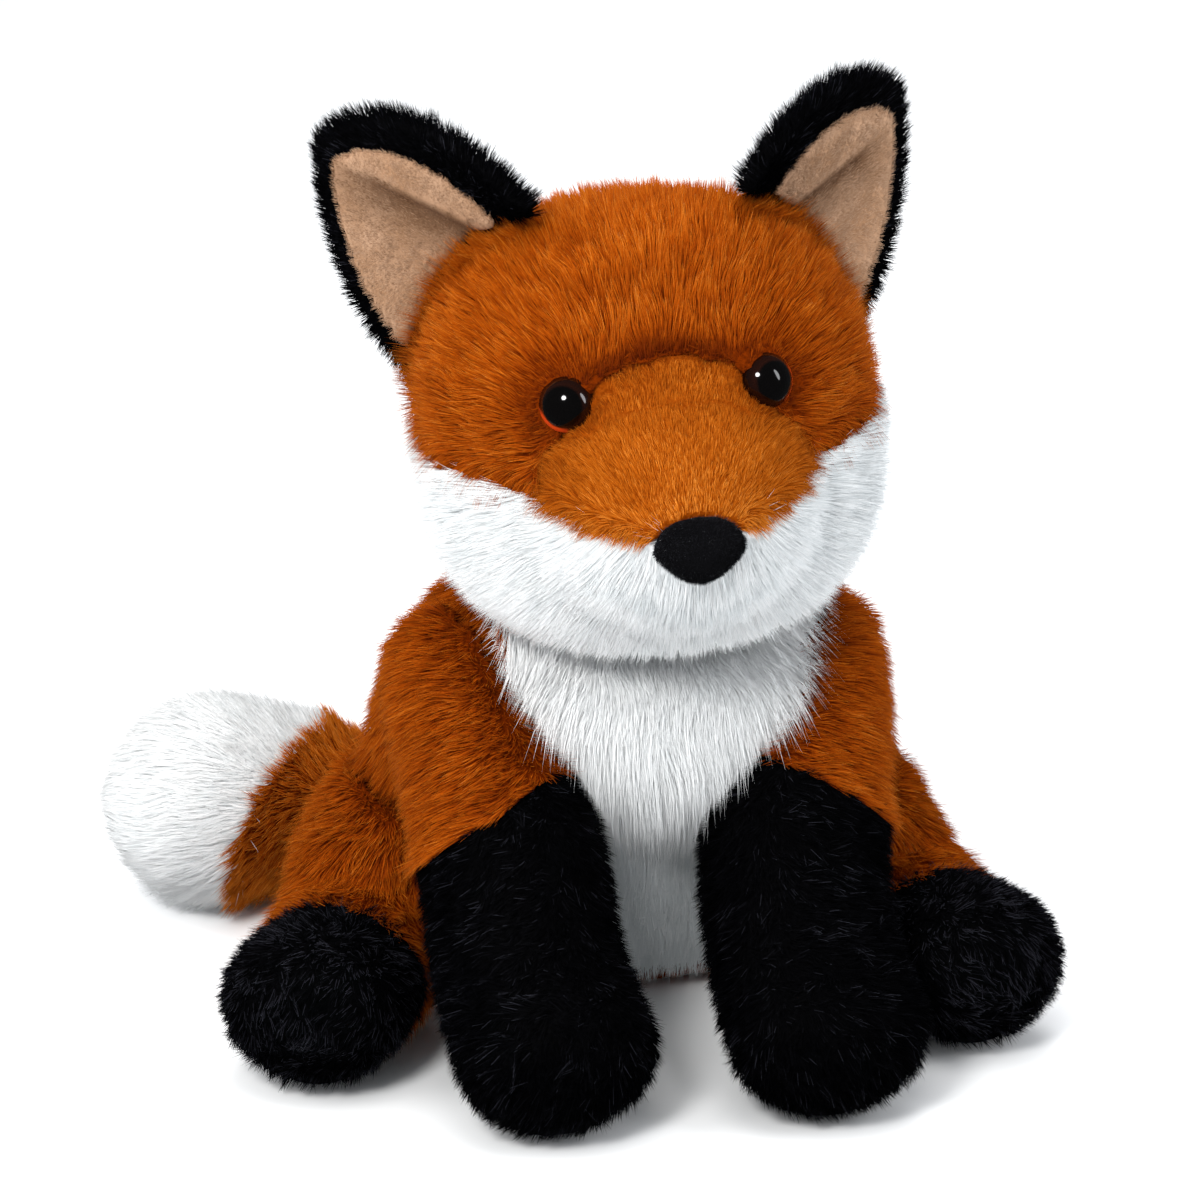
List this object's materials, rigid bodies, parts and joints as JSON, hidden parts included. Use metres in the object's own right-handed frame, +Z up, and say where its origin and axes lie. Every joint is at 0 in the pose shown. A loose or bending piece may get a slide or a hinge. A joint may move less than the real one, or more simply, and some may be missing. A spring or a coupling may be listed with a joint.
{
  "type": "plush fox",
  "caption": "Sitting plush fox with a fur body, jointed head, ears, legs and tail, domed eyes and a flocked nose.",
  "frame": {"origin": "on the floor under the middle of the seat's flat underside", "axes": "+Z up, -Y the way the fox faces, +X towards the viewer's right when the fox is seen from the front"},
  "size_m": [0.3072, 0.2679, 0.3078],
  "materials": {
    "russet_fur": "long soft pile, rust orange with lighter tips",
    "fawn_fur": "short dense pile, light rust",
    "white_fur": "long soft white pile",
    "black_fur": "dense black pile with a faint sheen",
    "ear_lining": "short brushed tan plush",
    "eye_plastic": "polished black dome with a dark amber rim",
    "nose_flock": "black flocking over plastic",
    "washer_plastic": "moulded white plastic",
    "stuffing": "loose polyester fibre",
    "canvas": "plain woven cotton"
  },
  "bodies": {
    "torso": {"back_skin": "russet_fur", "chest_bib": "white_fur", "belly_skin": "white_fur", "seat_panel": "russet_fur", "torso_stuffing": "stuffing", "pellet_bag": "canvas"},
    "head": {"crown_skin": "russet_fur", "muzzle_skin": "fawn_fur", "cheek_skin": "white_fur", "head_stuffing": "stuffing", "eye_left": "eye_plastic", "eye_right": "eye_plastic", "eye_washer_left": "washer_plastic", "eye_washer_right": "washer_plastic", "nose": "nose_flock", "nose_washer": "washer_plastic"},
    "ear_left": {"ear_back_left": "black_fur", "ear_lining_left": "ear_lining"},
    "ear_right": {"ear_back_right": "black_fur", "ear_lining_right": "ear_lining"},
    "front_leg_left": {"sleeve_left": "russet_fur", "stocking_left": "black_fur", "front_leg_stuffing_left": "stuffing"},
    "front_leg_right": {"sleeve_right": "russet_fur", "stocking_right": "black_fur", "front_leg_stuffing_right": "stuffing"},
    "hind_leg_left": {"thigh_skin_left": "russet_fur", "foot_skin_left": "black_fur", "hind_leg_stuffing_left": "stuffing"},
    "hind_leg_right": {"thigh_skin_right": "russet_fur", "foot_skin_right": "black_fur", "hind_leg_stuffing_right": "stuffing"},
    "tail": {"tail_skin": "russet_fur", "tail_tip_skin": "white_fur", "tail_stuffing": "stuffing"}
  },
  "joints": [
    {"name": "neck_turn", "type": "hinge", "parent": "torso", "child": "head", "pos_m": [0, -0.018, 0.166], "axis": [0, 0, 1], "range_deg": [-25, 25], "stiffness_Nm_per_rad": 0.05},
    {"name": "ear_fold_left", "type": "hinge", "parent": "head", "child": "ear_left", "pos_m": [-0.05599, -0.01406, 0.24768], "axis": [0.6362, -0.3726, 0.6756], "range_deg": [-12, 30], "stiffness_Nm_per_rad": 0.01},
    {"name": "ear_fold_right", "type": "hinge", "parent": "head", "child": "ear_right", "pos_m": [0.05159, -0.01406, 0.25076], "axis": [0.7301, 0.3726, -0.5729], "range_deg": [-12, 30], "stiffness_Nm_per_rad": 0.01},
    {"name": "front_leg_raise_left", "type": "hinge", "parent": "torso", "child": "front_leg_left", "pos_m": [-0.056, -0.03, 0.119], "axis": [-1, 0, 0], "range_deg": [0, 18]},
    {"name": "front_leg_raise_right", "type": "hinge", "parent": "torso", "child": "front_leg_right", "pos_m": [0.056, -0.03, 0.119], "axis": [-1, 0, 0], "range_deg": [0, 18]},
    {"name": "hind_leg_spread_left", "type": "hinge", "parent": "torso", "child": "hind_leg_left", "pos_m": [-0.068, 0.002, 0.042], "axis": [0, 0, -1], "range_deg": [0, 24], "stiffness_Nm_per_rad": 0.02},
    {"name": "hind_leg_spread_right", "type": "hinge", "parent": "torso", "child": "hind_leg_right", "pos_m": [0.06, 0.002, 0.042], "axis": [0, 0, 1], "range_deg": [0, 24], "stiffness_Nm_per_rad": 0.02},
    {"name": "tail_swing", "type": "hinge", "parent": "torso", "child": "tail", "pos_m": [-0.01, 0.0596, 0], "axis": [0, 0, -1], "range_deg": [0, 60], "stiffness_Nm_per_rad": 0.02}
  ]
}
